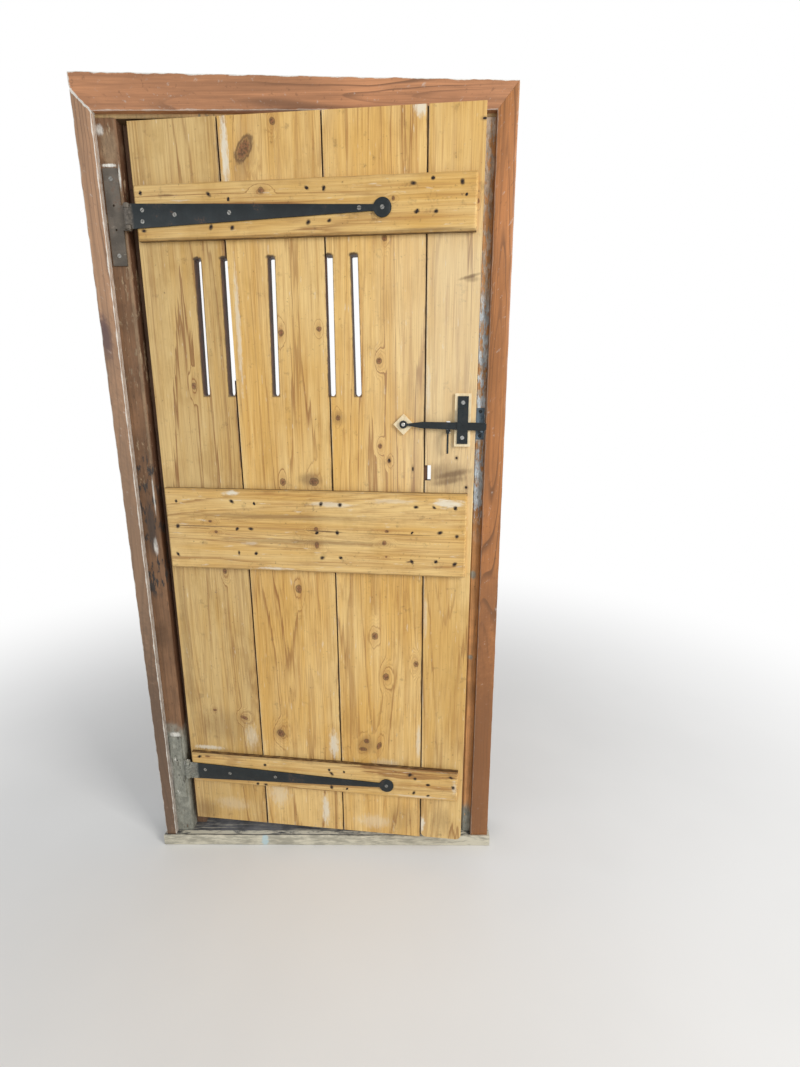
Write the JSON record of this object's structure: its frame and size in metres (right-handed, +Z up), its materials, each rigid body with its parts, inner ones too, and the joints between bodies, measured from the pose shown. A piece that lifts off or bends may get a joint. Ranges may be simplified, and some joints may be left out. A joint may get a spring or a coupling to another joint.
{
  "type": "ledged plank door",
  "caption": "Ledged pine plank door hung ajar in its timber frame, with tee hinges, a thumb-lever bar latch, narrow upright slots and worn, nail-marked ledges.",
  "frame": {"origin": "middle of the sill's underside across the opening, in line with the front faces of the jambs", "axes": "+Z up, +X from the hinge side to the latch side, +Y through the opening, away from the side that the ledges, hinges and latch bar are on"},
  "size_m": [1.017, 0.1917, 2.053],
  "materials": {
    "plank_pine": "waxed pine, honey coloured, worn satin",
    "ledge_pine": "waxed pine, a little deeper, worn satin",
    "jamb_timber": "old brown timber with grey remains of paint",
    "stop_timber": "pale dull timber",
    "architrave_left_timber": "pinkish brown stained timber",
    "architrave_head_timber": "red brown varnished timber",
    "architrave_right_timber": "orange brown varnished timber",
    "sill_paint": "worn cream and grey paint on timber",
    "pad_timber": "pale bare timber",
    "black_iron": "blue black painted iron, satin",
    "weathered_iron": "dull grey brown iron",
    "catch_iron": "blue grey worn iron",
    "nail_iron": "dark rusted iron",
    "worn_screw": "worn steel",
    "bright_screw": "bright zinc plated steel"
  },
  "bodies": {
    "frame": {"jamb_left": "jamb_timber", "jamb_right": "jamb_timber", "frame_head": "jamb_timber", "sill": "sill_paint", "stop_left": "stop_timber", "stop_right": "stop_timber", "stop_head": "stop_timber", "architrave_left": "architrave_left_timber", "architrave_head": "architrave_head_timber", "architrave_right": "architrave_right_timber", "upper_hinge_plate": "weathered_iron", "lower_hinge_plate": "weathered_iron", "upper_hinge_pin": "weathered_iron", "lower_hinge_pin": "weathered_iron", "upper_plate_screws": "weathered_iron", "lower_plate_screws": "weathered_iron", "latch_catch": "catch_iron", "catch_screws": "black_iron"},
    "leaf": {"plank_1": "plank_pine", "plank_2": "plank_pine", "plank_3": "plank_pine", "plank_4": "plank_pine", "ledge_top": "ledge_pine", "ledge_middle": "ledge_pine", "ledge_bottom": "ledge_pine", "ledge_top_nails": "nail_iron", "ledge_middle_nails": "nail_iron", "ledge_bottom_nails": "nail_iron", "upper_hinge_strap": "black_iron", "lower_hinge_strap": "black_iron", "upper_strap_screws": "worn_screw", "lower_strap_screws": "worn_screw", "pivot_pad": "pad_timber", "guard_pad": "pad_timber", "latch_guard": "black_iron", "guard_screws": "bright_screw", "latch_pivot_screw": "bright_screw", "outside_handle": "black_iron", "handle_screws": "black_iron", "thumb_pivot_pin": "black_iron"},
    "latch_bar": {"latch_bar": "black_iron"},
    "thumb_lever": {"thumb_lever": "black_iron"}
  },
  "joints": [
    {"name": "door_swing", "type": "hinge", "parent": "frame", "child": "leaf", "pos_m": [-0.4135, -0.0095, 1.0225], "axis": [0, 0, -1], "range_deg": [-6.1, 84]},
    {"name": "latch_lift", "type": "hinge", "parent": "leaf", "child": "latch_bar", "pos_m": [0.23664, -0.07033, 1.28622], "axis": [-0.1063, -0.9943, 0], "range_deg": [0, 10]},
    {"name": "thumb_press", "type": "hinge", "parent": "leaf", "child": "thumb_lever", "pos_m": [0.34921, -0.04223, 1.27044], "axis": [-0.9943, 0.1063, 0.0035], "range_deg": [0, 22]}
  ],
  "couplings": [
    {"joint": "thumb_press", "follows": "latch_lift", "ratio": 2.2}
  ]
}
